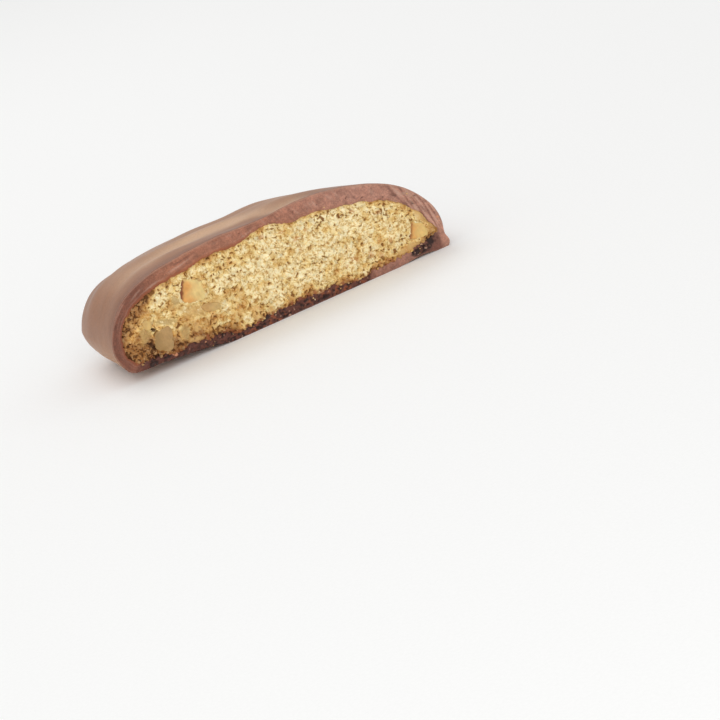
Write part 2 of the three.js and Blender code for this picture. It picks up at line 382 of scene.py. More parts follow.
# %% One helper for all nodes
def fill(tree, node, inputs):
    """Fills inputs. It maps a socket's name or number to a value, an output or a node."""
    for socket, value in inputs.items():
        if isinstance(value, bpy.types.Node):
            value = next(output for output in value.outputs if output.enabled)
        if isinstance(value, bpy.types.NodeSocket):
            tree.links.new(value, node.inputs[socket])
        else:
            node.inputs[socket].default_value = value


def add(tree, kind, inputs=None, **settings):
    """Adds a node with its settings and its inputs."""
    node = tree.nodes.new(kind)
    for setting, value in settings.items():
        setattr(node, setting, value)
    fill(tree, node, inputs or {})
    return node


# %% [markdown]
# ## Steps of a finish
#
# A finish starts from an empty material whose coordinates are in millimetres. Its colours are
# laid over each other: a pattern with lumps of a real size, a colour that follows a measure,
# tints where an attribute of the mesh says so, and shades from grain to grain.

# %% Colours and patterns
def colour(hex_value):
    """An sRGB hex colour as the linear colour that Blender works in."""
    shares = [int(hex_value[i:i + 2], 16) / 255 for i in (0, 2, 4)]
    return tuple(s / 12.92 if s <= 0.04045 else ((s + 0.055) / 1.055) ** 2.4 for s in shares) + (1,)


def new_material(name, **finish):
    """An empty material, its tree, its shader and its place in millimetres."""
    material = bpy.data.materials.new(name)
    material.use_nodes = True
    tree = material.node_tree
    tree.nodes.clear()
    shader = add(tree, "ShaderNodeBsdfPrincipled", {
        socket.replace("_", " "): value for socket, value in finish.items()})
    add(tree, "ShaderNodeOutputMaterial", {"Surface": shader})
    place = add(tree, "ShaderNodeTexCoord").outputs["Object"]
    millimetres = add(tree, "ShaderNodeMapping", {"Vector": place, "Scale": (1 / MM,) * 3})
    return material, tree, shader, millimetres


def pattern(tree, place, size, detail=2.0, stretch=(1, 1, 1), roughness=0.5):
    """Noise from about 0.3 to 0.7 with lumps of size millimetres, drawn out by stretch."""
    drawn = add(tree, "ShaderNodeMapping", {
        "Vector": place, "Scale": tuple(1 / (size * s) for s in stretch)})
    return add(tree, "ShaderNodeTexNoise", {
        "Vector": drawn, "Scale": 1.0, "Detail": detail, "Roughness": roughness})


def between(tree, factor, first, second, low=0.0, high=1.0):
    """A colour that goes from first to second while factor goes from low to high."""
    share = add(tree, "ShaderNodeMapRange", {
        "Value": factor, "From Min": low, "From Max": high}, interpolation_type="SMOOTHSTEP")
    return add(tree, "ShaderNodeMix", {0: share, 6: first, 7: second}, data_type="RGBA")


def along(tree, value, stops):
    """A colour that follows a measure. stops maps its values to hex colours."""
    low, high = min(stops), max(stops)
    share = add(tree, "ShaderNodeMapRange", {"Value": value, "From Min": low, "From Max": high})
    node = add(tree, "ShaderNodeValToRGB", {"Fac": share})
    marks = node.color_ramp.elements
    while len(marks) < len(stops):
        marks.new(0.5)
    for mark, stop in zip(marks, sorted(stops)):
        mark.position = (stop - low) / (high - low)
        mark.color = colour(stops[stop])
    return node


def tinted(tree, body, tints):
    """A colour with tints laid over it. tints maps attributes to hex colours."""
    for attribute, tint in tints.items():
        amount = add(tree, "ShaderNodeAttribute", attribute_name=attribute).outputs["Fac"]
        body = between(tree, amount, body, colour(tint))
    return body


def shaded(tree, body, factor, darkest, lightest, low=0.3, high=0.7):
    """A colour made from darkest to lightest times as bright by a pattern."""
    scale = add(tree, "ShaderNodeMapRange", {
        "Value": factor, "From Min": low, "From Max": high, "To Min": darkest, "To Max": lightest})
    return add(tree, "ShaderNodeVectorMath", {0: body, "Scale": scale}, operation="SCALE")


def finished(tree, shader, body, relief, height):
    """Gives the shader its colour, and a bump of height millimetres from a relief."""
    bump = add(tree, "ShaderNodeBump", {"Height": relief, "Distance": height * MM, "Strength": 1.0})
    fill(tree, shader, {"Base Color": body, "Normal": bump})


# %% [markdown]
# ## Milk chocolate, as it set
#
# Milk chocolate that set on the biscuit is satin: light spreads in it a little, and a broad
# soft shine lies on top. Its index of refraction is that of cocoa butter, about 1.46. A pale
# band of painted sheen runs along the waves, the top of the dome is painted lighter, and a
# painted shadow lies beside the cut. A glossy coat would look like plastic, so there is none,
# and the roughness wanders instead.

# %% Material: satin milk chocolate
CHOCOLATE = dict(IOR=1.46, Subsurface_Weight=0.06, Subsurface_Radius=(1.0, 0.5, 0.3),
                 Subsurface_Scale=0.5 * MM)


def satin_chocolate():
    material, tree, shader, place = new_material("satin_milk_chocolate", **CHOCOLATE)
    clouds = pattern(tree, place, 6.0, detail=3)
    streaks = pattern(tree, place, 1.5, detail=3, stretch=(9, 1, 1))
    body = between(tree, clouds, colour("926446"), colour("9a6c4e"), 0.35, 0.65)
    body = shaded(tree, body, streaks, 0.96, 1.05)
    # Painted shadow beside the cut, painted sheen along the waves and on the top, and a warmer tint
    # low on the left end.
    body = tinted(tree, body, {"shadow": "7d5038", "sheen": "c79f7c", "low": "ad7a4e"})
    body = shaded(tree, body, pattern(tree, place, 0.3, detail=3), 0.92, 1.08)
    fill(tree, shader, {"Roughness": add(tree, "ShaderNodeMapRange", {
        "Value": clouds, "From Min": 0.3, "From Max": 0.7, "To Min": 0.38, "To Max": 0.48})})
    waves = pattern(tree, place, 1.6, detail=3, stretch=(4, 1, 1))
    finished(tree, shader, body, waves, 0.06)
    return material


# %% [markdown]
# ## Milk chocolate, where the knife went through
#
# The cut is a dark red-brown on the left and a paler, pinkish brown on the right; the change in
# brightness is partly painted shade on the left and painted light on the right. Along the crumb a
# warm line shows where fat and fine crumb were drawn into it, and below the biscuit it is
# porous, dark and rusty in places, its darkness partly painted shade. Pits, tears and porous spots
# are darkened with painted shade, and a pale line along the burr is a painted highlight.
# Attributes say where each of these is, and the material adds the fine grain.

# %% Material: knife-cut milk chocolate
# Colour by x, from red-brown on the left to pinkish brown on the right; the rise in brightness is
# partly painted shade and painted light.
CUT_TONES_AND_LIGHT = {-19: "7c4a37", -13.5: "a2694f", 2: "a66e57", 14: "ae7c69", 25: "b4816d"}  # by x
DRAGGED_DARK, DRAGGED_PALE = "5f3a31", "d0ab98"


def cut_chocolate():
    material, tree, shader, place = new_material(
        "knife_cut_milk_chocolate", Roughness=0.62, **CHOCOLATE)
    across = add(tree, "ShaderNodeSeparateXYZ", {"Vector": place}).outputs["X"]
    mottle = pattern(tree, place, 0.9, detail=5, roughness=0.62)
    grain = pattern(tree, place, 0.2, detail=2)
    # The base tint darkens the layer under the biscuit: partly its darker porous chocolate, partly
    # painted shade.
    body = tinted(tree, along(tree, across, CUT_TONES_AND_LIGHT), {"base": "63362a"})
    body = shaded(tree, shaded(tree, body, mottle, 0.74, 1.24), grain, 0.8, 1.2)
    drag = add(tree, "ShaderNodeAttribute", attribute_name="drag").outputs["Fac"]
    body = between(tree, drag, colour(DRAGGED_DARK), body, -0.4, 0.5)
    body = between(tree, drag, body, colour(DRAGGED_PALE), 0.5, 1.5)
    # dark lays painted shade into pits, tears, torn and porous spots and the base band; pale is
    # dust, pale specks and a painted highlight along the burr.
    body = tinted(tree, body, {
        "warm": "a0552f", "dark": "2e140d", "pale": "b58d78", "fleck": "cb8c68"})
    finished(tree, shader, body, shaded(tree, grain, mottle, 0.7, 1.3), 0.07)
    return material


# %% [markdown]
# ## Baked crumb
#
# The inside of a short biscuit is a foam of flour, butter and sugar. It is pale cream in the
# middle and turns golden, then brown, towards the parts that met the oven's heat. Each grain
# has its own tone, and the gaps between grains, the pores and the hollows are darkened with
# painted shade. It is dull, so its roughness is near one, and light goes a short way into it.

# %% Material: baked crumb
BAKED = dict(IOR=1.45, Specular_IOR_Level=0.3, Subsurface_Weight=0.12,
             Subsurface_Radius=(1.0, 0.75, 0.4), Subsurface_Scale=0.35 * MM)
BAKE_TONES = {0: "fcefc8", 0.3: "f3dca2", 0.6: "ddb476", 1: "ad8052"}
TONE_AND_SHADE_FILTER = {0: "b28f64", 0.3: "e6d3b2", 0.6: "fbf6ea", 1: "ffffff"}  # from gap to grain


def baked_crumb():
    material, tree, shader, place = new_material("baked_biscuit_crumb", Roughness=0.85, **BAKED)
    bake, tone = (add(tree, "ShaderNodeAttribute", attribute_name=name).outputs["Fac"]
                  for name in ("bake", "tone"))
    fine = pattern(tree, place, 0.22, detail=3, roughness=0.6)
    clouds = pattern(tree, place, 1.1, detail=4)
    body = shaded(tree, along(tree, bake, BAKE_TONES), clouds, 0.88, 1.12)
    # The tone filter darkens the gaps between grains with painted shade.
    body = add(tree, "ShaderNodeVectorMath", {
        0: body, 1: along(tree, tone, TONE_AND_SHADE_FILTER)}, operation="MULTIPLY")
    # The pore and hollow tints are painted shade in pores, crevices and holes.
    body = tinted(tree, shaded(tree, body, fine, 0.88, 1.14), {
        "crust": "98593a", "fleck": "bd7639", "pore": "94683a", "smooth": "d9b274",
        "tan": "d0a86a", "khaki": "b89a66", "hollow": "4d2f1c"})
    finished(tree, shader, body, fine, 0.08)
    return material


# %% [markdown]
# ## Loose grains of crumb
#
# The knife broke single grains and small clumps free. They are the same stuff as the crumb, but
# each carries its own number from 0 to 1, its tone, and takes from the crumb how far it was
# baked.

# %% Material: crumb grains
GRAIN_TONES = {0: "fbe9b8", 0.3: "f2d496", 0.6: "d8ac6e", 1: "b38a5e"}


def grain_material():
    material, tree, shader, place = new_material("crumb_grains", Roughness=0.75, **BAKED)
    bake, tone = (add(tree, "ShaderNodeAttribute", attribute_name=name).outputs["Fac"]
                  for name in ("bake", "tone"))
    body = shaded(tree, along(tree, bake, GRAIN_TONES), tone, 0.72, 1.04, 0.0, 0.6)
    fine = pattern(tree, place, 0.12, detail=2)
    finished(tree, shader, shaded(tree, body, fine, 0.9, 1.08), fine, 0.03)
    return material


# %% [markdown]
# ## Sliced hazelnut
#
# Roasted hazelnut is dense and slightly waxy. A sliced piece is cream where it is pale and
# orange where it was roasted most, with a faint fibre, and a thin brown skin is left on its
# rounded side. Skin and roast are attributes, because they follow the shape.

# %% Material: roasted hazelnut
def roasted_hazelnut(name, pale, roasted):
    material, tree, shader, place = new_material(
        name, Roughness=0.5, IOR=1.47, Subsurface_Weight=0.25,
        Subsurface_Radius=(1.0, 0.7, 0.4), Subsurface_Scale=0.7 * MM)
    roast = add(tree, "ShaderNodeAttribute", attribute_name="roast").outputs["Fac"]
    fibre = pattern(tree, place, 0.3, detail=3, stretch=(1, 1, 2.5))
    body = between(tree, roast, colour(pale), colour(roasted))
    body = shaded(tree, body, pattern(tree, place, 0.9, detail=3), 0.9, 1.08)
    body = shaded(tree, body, fibre, 0.93, 1.05)
    finished(tree, shader, tinted(tree, body, {"rim": "c19a5e", "skin": "84451f"}), fibre, 0.05)
    return material


# %% [markdown]
# ## The chocolate coat
#
# The coat is one closed skin of rows. It comes from the rear over the dome to the edge of the
# cut, goes across the cut chocolate to the biscuit, and back inside. The rows lie close
# together at the edge, where the knife left a thin burr, and on the cut.

# %% Outer rows of the coat
AROUND = 420  # steps along the upper line, and as many along the lower
DOME_ROWS = 46
EDGE_STEPS = (0.05, 0.12, 0.22, 0.36, 0.55, 0.8)  # first rows behind the cut, in mm
EDGE_CLEAR = 0.3  # between them and the rows of the dome
BURR, BURR_UNEVEN, BURR_WIDTH = 0.05, 0.06, 0.14
SETTLED = 0.02  # how uneven the satin skin is
# The pale band of painted sheen: the lamp's highlight along the waves, painted into the colour.
SHEEN_LINE = {  # how far behind the cut the pale streak runs, by x
    -22: 4.2, -16: 3.6, -12: 5.0, -8: 5.9, -4: 5.6, -1.5: 4.9, 0.5: 3.4, 2.5: 1.5, 5: 0.2}
SHEEN_GLOW = {  # how pale it is, by x
    -22: 0.1, -16: 0.6, -9: 0.95, -3: 1.0, 0: 0.7, 3: 0.8, 6: 0.8, 8: 0.4, 10: 0.0}
SHEEN_BEHIND, SHEEN_BEFORE = 2.6, 1.5  # how wide it is on its two sides


def satin_numbers(row):
    """Where painted sheen lightens the satin skin, and where painted shadow darkens it beside the
    cut.
    """
    x, y, z = row.T
    away = y - follow(x, SHEEN_LINE) + 0.5 * uneven(row, (5, 2, 5), 11.0)
    width = np.where(away > 0, SHEEN_BEHIND, SHEEN_BEFORE)
    sheen = follow(x, SHEEN_GLOW) * np.exp(-(away / width) ** 2)
    # Painted light: the top of the dome is painted lighter, as light falls on it from above.
    upper = smoothstep(10.5, 13.5, z) * smoothstep(1.5, 5.0, y)
    shadow = smoothstep(2.4, 0.6, y) * smoothstep(6.0, 9.0, z)
    return {"sheen": np.clip(0.75 * sheen + 0.3 * upper, 0, 1),
            "shadow": 0.6 * shadow * (1 - 0.7 * sheen),
            "low": 0.75 * smoothstep(8.0, 3.0, z) * smoothstep(-16, -20, x)}


outer_ring = closed(*over_and_under(CHOCOLATE_OUTLINE, CHOCOLATE_LEFT_END, AROUND))
outer_ring[:, 1] = np.maximum(outer_ring[:, 1], 0)
outwards = np.insert(outward(outer_ring), 1, 0.0, axis=1)
edge_points = dome_row(outer_ring, DEPTH, 0.0, outside=True)
burr = BURR + BURR_UNEVEN * np.clip(uneven(edge_points, 2.5, 3.0), -0.6, 1)
burr *= smoothstep(0.8, 3.0, edge_points[:, 2])
turns = [t for t in np.linspace(math.pi / 2, 0, DOME_ROWS, endpoint=False)
         if t * DEPTH > EDGE_STEPS[-1] + EDGE_CLEAR]
turns += [step / DEPTH for step in reversed(EDGE_STEPS)]
coat_rows = []
for turn_back in turns:
    row = dome_row(outer_ring, DEPTH, turn_back, outside=True)
    lift = burr * np.exp(-(row[:, 1] / BURR_WIDTH) ** 2)
    settle = SETTLED * uneven(row, 5.0, 9.0) * np.minimum(row[:, 1] / 2, 1)
    row = row + outwards * (lift + settle)[:, None]
    row[:, 2] = np.maximum(row[:, 2], 0)
    coat_rows.append(row)
coat_rows[0] = coat_rows[0][:1]
print(len(coat_rows), "outer rows of", len(outer_ring), "points")

# %% [markdown]
# ### Across the cut
#
# The relief of the cut is added up from what a knife does: it drags fine lines, steeply down
# the crown and the right shoulder, tears out a few pits, and crumbles the thin porous layer
# under the biscuit. The edge next to the crumb wanders and sinks.

# %% Rows across the cut
RING_ROWS = 20
EDGE_WANDER, MOST_WANDER = 0.12, 0.26  # how far the crumb's border strays, in mm
BASE_WANDER, BASE_SINK = 2.4, 0.12  # times more under the crumb, and mm lower there
BURR_BACK = 0.6  # the burr stands out before the cut by this share of its height
BURR_SHARE, RELIEF_STARTS = 0.05, (-0.02, 0.25)  # shares of the way to the crumb
RELIEF_LIMITS = (-0.12, 0.9)
SHOULDER_LEAN = 0.3  # the drag lines of the right shoulder lean left as they rise
SHOULDER_BEND = 0.012  # and bend a little, in each mm of height squared
PITS = [(13.0, 12.4, 0.2, 0.14, 30), (15.3, 11.6, 0.16, 0.12, 0), (18.2, 10.4, 0.18, 0.14, 0),
        (-3.1, 13.9, 0.15, 0.1, 20), (8.7, 13.3, 0.14, 0.1, 0), (5.1, 13.7, 0.16, 0.1, 40)]
TEARS = [(21.5, 8.4, 1.2, 0.24, -50), (19.7, 10.1, 0.7, 0.16, -36)]
POROUS = [(21.7, 1.2, 2.2, 0.75, 13), (23.1, 1.8, 0.6, 0.55, 0)]  # under the right end
DUSTED = [(21.9, 9.3, 0.75, 0.35, -42), (21.2, 9.7, 0.4, 0.25, 0)]
FLECKS = [(24.9, 4.6, 0.22, 0.16, 0), (-17.5, 1.8, 0.36, 0.27, 10), (-12.9, 1.6, 0.15, 0.12, 0)]
BASE_TOP = {  # z by x
    -24.5: 0.5, -22: 2.9, -12: 2.2, -8: 1.6, 10: 1.6, 19: 1.7, 23: 2.9, 24.6: 2.6}
# BASE_TINT and BASE_DARK: how much the layer under the biscuit is darkened by x, partly its own
# darker chocolate and partly painted shade.
BASE_TINT = {-24: 0.1, -21.5: 1, 12: 1, 13.5: 0.4, 19.5: 0.35, 20.5: 0.8, 24: 0.7, 24.8: 0}
BASE_DARK = {-22.5: 0, -21: 0.85, -17: 0.45, -9: 0.7, 0: 0.6, 12: 0.6, 13.5: 0, 24.8: 0}
BASE_RUST = {-9: 0, -6: 1, 11: 1, 14: 0}
WARM_LINE = {-25: 0.4, -21: 0.6, -6: 0.6, 1: 0.25, 25: 0.1}
CUT_RELIEF = {  # how deep each mark of the knife is, in mm
    "waves": 0.05, "steep": 0.07, "downs": 0.02, "longs": 0.015, "crumbled": 0.13, "pit": 0.16,
    "tear": 0.14, "porous": 0.12, "torn": 0.12, "fleck": -0.08, "border": 0.14}

inner_ring = closed(*over_and_under(BISCUIT_OUTLINE, BISCUIT_LEFT_END, AROUND))
inner_points = np.insert(inner_ring, 1, 0.0, axis=1)
lowness = smoothstep(4.0, 2.5, inner_points[:, 2])
wander = uneven(inner_points, 1.3, 21.0) + 0.7 * uneven(inner_points, 0.45, 22.0)
wander *= EDGE_WANDER * (1 + (BASE_WANDER - 1) * lowness)
wander = np.minimum(wander + BASE_SINK * lowness, MOST_WANDER)
cavity_ring = inner_ring + outward(inner_ring) * wander[:, None]


def streaks(x, y, z, size, seed):
    """Noise drawn out into lines, from its own x, y and z."""
    return uneven(np.column_stack(np.broadcast_arrays(x, y, z)), size, seed)


def cut_numbers(points, across):
    """Relief and tints of the cut. across is 0 at the outer edge and 1 at the crumb."""
    x, z = points[:, 0], points[:, 2]
    low = 1 - smoothstep(0, 0.45, z - follow(x, BASE_TOP))
    porous = spots(points, POROUS, 0.35) * smoothstep(0.3, 0.6, z)
    rough = np.maximum(low * (follow(x, BASE_DARK) > 0), porous)
    shoulder = smoothstep(17.5, 20.5, x) * (1 - low)
    crown = smoothstep(-9.0, 3.0, x) * (1 - shoulder) * (1 - low)
    left = np.clip(1 - shoulder - crown, 0, 1) * (1 - low)
    bent = x + SHOULDER_LEAN * z + SHOULDER_BEND * (z - 7) ** 2
    steep = shoulder * streaks(bent, 0, z, (0.3, 1, 3.0), 31.0)
    downs = crown * streaks(x + 0.5 * z, 0, z, (0.28, 1, 1.6), 33.0)
    longs = left * streaks(x, 2 * across, 0, (3.0, 0.4, 1), 35.0)
    crumbled = uneven(points, 0.75, 39.0) + 0.9 * uneven(points, 0.32, 41.0)
    pit, tear, fleck = spots(points, PITS, 0.5), spots(points, TEARS, 0.5), spots(points, FLECKS)
    torn = np.clip(uneven(points, 0.5, 43.0) - 0.72, 0, 1) * 2.0
    specks = np.clip(uneven(points, 0.4, 45.0) - 0.68, 0, 1) * 2.2 * rough
    dusted = spots(points, DUSTED)
    marks = {"waves": uneven(points, 2.2, 37.0), "steep": steep, "downs": downs, "longs": longs,
             "crumbled": rough * crumbled, "pit": pit, "tear": tear, "porous": porous,
             "torn": torn, "fleck": fleck, "border": smoothstep(0.8, 1.0, across)}
    relief = sum(CUT_RELIEF[name] * mark for name, mark in marks.items())
    # Painted shade: darker in the base band, the pits, tears, torn spots and porous chocolate.
    dark = low * follow(x, BASE_DARK) * np.clip(0.5 + 1.1 * crumbled, 0, 1.5)
    dark += 0.5 * pit + 0.3 * torn + tear * np.clip(0.25 + 0.6 * crumbled, 0, 0.6)
    dark += porous * np.clip(0.8 + 0.6 * crumbled, 0, 1)
    # Painted highlight: a pale line along the burr at the outer edge of the cut.
    burr_highlight = np.maximum(smoothstep(2.0, 4.0, z), 0.8 * smoothstep(-10, -7, x) * (z < 1))
    burr_highlight *= np.exp(-(across / 0.09) ** 2)
    warm = smoothstep(0.6, 0.95, across) * follow(x, WARM_LINE) * (1 - low)
    rust = low * follow(x, BASE_RUST) * np.clip(0.1 + 1.1 * uneven(points, 0.7, 49.0), 0, 0.6)
    numbers = {
        "drag": 0.5 + 1.5 * (0.8 * steep + 0.3 * downs + 0.3 * longs),
        "warm": warm + rust, "base": low * follow(x, BASE_TINT), "dark": dark,
        "pale": 0.55 * burr_highlight + 0.6 * dusted + specks, "fleck": fleck,
        "bake": 0.55 + 0.5 * uneven(points, 0.6, 47.0),
        "dust": (z > 0.5) * (0.07 * rough + 0.3 * dusted + 0.03 * marks["border"])}
    return relief, {name: np.clip(value, 0, 1) for name, value in numbers.items()}


ring_rows, ring_numbers = [], []
for share in np.linspace(0, 1, RING_ROWS):
    flat = edge_points[:, [0, 2]] * (1 - share) + cavity_ring * share
    row = np.insert(flat, 1, 0.0, axis=1)
    relief, numbers = cut_numbers(row, share)
    raised = BURR_BACK * burr * math.exp(-(share / BURR_SHARE) ** 2)
    row[:, 1] = np.clip(relief * smoothstep(*RELIEF_STARTS, share) - raised, *RELIEF_LIMITS)
    row[:, 2] = np.maximum(row[:, 2], 0)
    ring_rows.append(row)
    ring_numbers.append(numbers)
depths = np.array(ring_rows)[:, :, 1]
print("cut relief from", round(depths.min(), 2), "to", round(depths.max(), 2), "mm")

# %% The coat as one skin
INNER_ROWS = 8
INNER_START = 0.3  # mm behind the cut


def gathered(rows, before, after):
    """Each number along all rows, and 0 for so many points before and after them."""
    return {name: np.r_[np.zeros(before), np.concatenate([row[name] for row in rows]),
                        np.zeros(after)] for name in rows[0]}


inner_rows = [row + (0, INNER_START, 0)
              for row in rows_behind(cavity_ring, DEPTH - REAR_WALL, INNER_ROWS)]
coat_points, coat_faces = wrapped(coat_rows + ring_rows + inner_rows)
outside_points, inside_points = (sum(len(row) for row in rows) for rows in (coat_rows, inner_rows))
satin = gathered([satin_numbers(row) for row in coat_rows], 0, len(coat_points) - outside_points)
cut = gathered(ring_numbers, outside_points, inside_points)
on_cut = [int(min(face) >= outside_points - len(outer_ring)) for face in coat_faces]
coat = mesh_object("chocolate_coat", coat_points, coat_faces,
                   [satin_chocolate(), cut_chocolate()], satin | cut, on_cut)
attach(coat, "root")
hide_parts("coating")
print("chocolate coat:", len(coat.data.polygons), "faces")

# %% [markdown]
# ## The nuts
#
# Each piece of hazelnut is a lump with chopped sides, sliced flat by the knife: a stretched
# ball whose sides are pressed to flats, and whose front is pressed back to the knife's plane.
# The frame's solids are made by the same steps, with fewer faces.

# %% Nut pieces
NUTS = [  # middle, half sizes, turn, chopped sides, tones, and the skin's side and strength
    dict(x=-12.0, z=9.1, half=(2.3, 2.1, 2.2), turn=-20, pale="e4c884", roasted="dfa155",
         flats=[(158, 1.9), (0, 1.5), (262, 1.75), (67, 1.5)], skin=(158, 1.0)),
    dict(x=-10.4, z=5.95, half=(1.5, 1.2, 0.8), turn=-20, pale="cba96d", roasted="c69c5f",
         flats=[(75, 0.6)], skin=None),
    dict(x=-18.2, z=4.25, half=(1.85, 1.9, 2.0), turn=-15, pale="b8935f", roasted="a8844f",
         flats=[(165, 1.35), (240, 1.6), (-13, 1.25), (98, 1.6)], skin=None),
    dict(x=-19.85, z=7.1, half=(0.8, 0.9, 0.9), turn=10, pale="dcb974", roasted="d2ac6a",
         flats=[(200, 0.65)], skin=None),
    dict(x=21.3, z=3.85, half=(1.8, 1.6, 1.75), turn=0, pale="e2bd74", roasted="e0a55a",
         flats=[(158, 0.95), (259, 1.0), (24, 1.4), (72, 1.3)], skin=(158, 0.6)),
]
NUT_ROUNDS = 6  # times that the ball's faces are split
NUT_MIDDLE_DEPTH = 0.5
NUT_SLICE = 0.05  # the sliced face lies this far behind the knife's plane
NUT_LUMPS, FLAT_LUMPS = 0.06, 0.06  # how uneven the ball and the chopped sides are
NUT_EDGE = 0.6  # how softly the sliced face and the chopped sides meet
SKIN_STARTS, SKIN_FULL = 0.75, 0.2  # mm in from the skin's side
SKIN_BELOW = (-1.9, -0.9)  # it ends near the bottom of the nut


def pressed(value, limit, soft):
    """The value held below a limit, with a soft bend where it meets it."""
    share = np.clip(0.5 + 0.5 * (value - limit) / soft, 0, 1)
    return value * (1 - share) + limit * share - soft * share * (1 - share)


def nut_piece(number, nut):
    """One chopped piece of hazelnut and its finish."""
    ball = bmesh.new()
    bmesh.ops.create_icosphere(ball, subdivisions=NUT_ROUNDS, radius=1.0)
    points = np.array([v.co for v in ball.verts])
    faces = [tuple(v.index for v in f.verts) for f in ball.faces]
    ball.free()
    points *= (1 + NUT_LUMPS * uneven(points, 0.5, nut["x"]))[:, None]
    points *= nut["half"]
    angle = -math.radians(nut["turn"])
    points = points @ np.array(Matrix.Rotation(angle, 3, "Y")).T
    for side, distance in nut["flats"]:
        reach, out = towards(points, side)
        wavy = distance + FLAT_LUMPS * uneven(points, 0.8, side)
        points -= (reach - pressed(reach, wavy, NUT_EDGE))[:, None] * out
    skin = np.zeros(len(points))
    if nut["skin"] is not None:
        side, strength = nut["skin"]
        reach = towards(points, side)[0] + 0.1 * uneven(points, 0.6, 2.0)
        skin = smoothstep(reach.max() - SKIN_STARTS, reach.max() - SKIN_FULL, reach)
        skin *= strength * smoothstep(*SKIN_BELOW, points[:, 2])
    roast = smoothstep(0.7, -0.9, points[:, 0] / nut["half"][0] + 0.3 * uneven(points, 1.2, 4.0))
    points += (nut["x"], NUT_MIDDLE_DEPTH, nut["z"])
    sliced = NUT_SLICE + 0.03 * uneven(points, 0.9, 6.0) + 0.012 * uneven(points, 0.25, 7.0)
    rim = smoothstep(sliced - 0.5, sliced + 0.2, points[:, 1])
    points[:, 1] = -pressed(-points[:, 1], -sliced, 0.5 * NUT_EDGE)
    finish = roasted_hazelnut(f"roasted_hazelnut_{number}", nut["pale"], nut["roasted"])
    piece = mesh_object(f"hazelnut_piece_{number}", points, faces, [finish],
                        {"skin": skin, "roast": roast, "rim": 0.5 * rim})
    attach(piece, "root")
    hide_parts(f"hazelnut_{number}")
    return piece


for number, nut in enumerate(NUTS, start=1):
    piece = nut_piece(number, nut)
    print(piece.name, len(piece.data.polygons), "faces")

# %% [markdown]
# ## The broken face of the biscuit
#
# The face of the crumb is a grid between the biscuit's upper and lower outline. Each point is
# pushed back by what it meets there: wide crags, clumps, single grains and the pores between
# them. A displacement texture would also work, but the export keeps only real points. The same
# sums say how deep a pore is and how far the crumb is baked.

# %% The face grid
ACROSS = 600  # columns from the right end to the left end
UPWARDS = 132  # points in a column
OVERLAP, BASE_OVERLAP = 0.1, 0.2  # the crumb reaches into the chocolate, further at the base

crumb_upper, crumb_lower = over_and_under(BISCUIT_OUTLINE, BISCUIT_LEFT_END, ACROSS)
crumb_ring = closed(crumb_upper, crumb_lower)
overlap = OVERLAP + BASE_OVERLAP * smoothstep(4.0, 2.5, crumb_ring[:, 1])
grown = crumb_ring + outward(crumb_ring) * overlap[:, None]
crumb_upper = grown[:ACROSS]
crumb_lower = np.vstack([grown[:1], grown[ACROSS - 1:][::-1]])
shares = np.linspace(0, 1, UPWARDS)[:, None]
grid = crumb_lower * (1 - shares[..., None]) + crumb_upper * shares[..., None]
face_points = np.insert(grid.reshape(-1, 2), 1, 0.0, axis=1)
column_height = np.linalg.norm(crumb_upper - crumb_lower, axis=1)
over_base = (shares * column_height).ravel()  # distance along the column from the base
under_top = ((1 - shares) * column_height).ravel()
print("face grid:", UPWARDS, "x", ACROSS, "points")

# %% Places on the face
SMOOTH = [  # spots with no pores: a crescent at the right end, and some strips
    (22.7, 5.8, 1.4, 0.62, -54), (23.7, 4.3, 1.0, 0.4, -72), (20.3, 2.0, 1.2, 0.55, 8),
    (18.6, 1.8, 0.9, 0.45, 0), (-13.9, 2.4, 1.1, 0.4, -12), (-13.2, 3.7, 0.55, 0.55, 0)]
TAN = [(-12.9, 6.3, 2.0, 0.95, -24), (-9.4, 6.3, 0.9, 0.9, -20), (-15.6, 7.9, 0.7, 0.45, -20)]
KHAKI = [(-20.5, 5.8, 0.85, 1.15, -20), (-15.0, 4.0, 0.75, 1.1, 0),
         (-17.1, 6.5, 1.6, 0.5, -24), (-14.8, 8.7, 0.5, 0.7, 0)]
# Hollows are pushed back, and their tint is painted shade in them.
HOLLOWS = [  # dark crevices round the lower left nut, and single larger holes
    (-19.2, 6.2, 0.6, 0.25, -35), (-20.0, 4.0, 0.75, 0.3, -62), (-19.9, 2.3, 0.4, 0.5, 0),
    (13.4, 3.1, 0.3, 0.4, 0), (15.4, 2.1, 0.25, 0.3, 0), (17.1, 3.6, 0.22, 0.3, 0),
    (7.7, 5.6, 0.16, 0.2, 0), (3.9, 4.4, 0.16, 0.16, 0), (4.5, 6.7, 0.16, 0.1, 0),
    (3.6, 2.0, 0.3, 0.16, 20), (-5.9, 7.1, 0.3, 0.12, 40), (-0.8, 12.2, 0.16, 0.3, 0),
    (13.1, 10.6, 0.3, 0.16, -40), (19.0, 8.5, 0.2, 0.2, 0), (-7.8, 7.4, 0.3, 0.15, -40)]
ORANGE = [
    (6.0, 10.6, 0.3, 0.3, 0), (4.4, 9.9, 0.45, 0.35, 0), (4.4, 8.2, 0.3, 0.2, 0),
    (11.3, 3.8, 0.65, 0.4, -20), (10.0, 3.2, 0.3, 0.25, 0), (13.2, 10.3, 0.5, 0.3, -30),
    (16.9, 8.6, 0.5, 0.35, 0), (-0.3, 12.1, 0.5, 0.45, 0), (17.3, 4.0, 0.35, 0.5, 0),
    (13.9, 3.4, 0.5, 0.5, 0), (15.3, 2.6, 0.4, 0.5, 0), (2.7, 11.6, 0.5, 0.2, 0)]
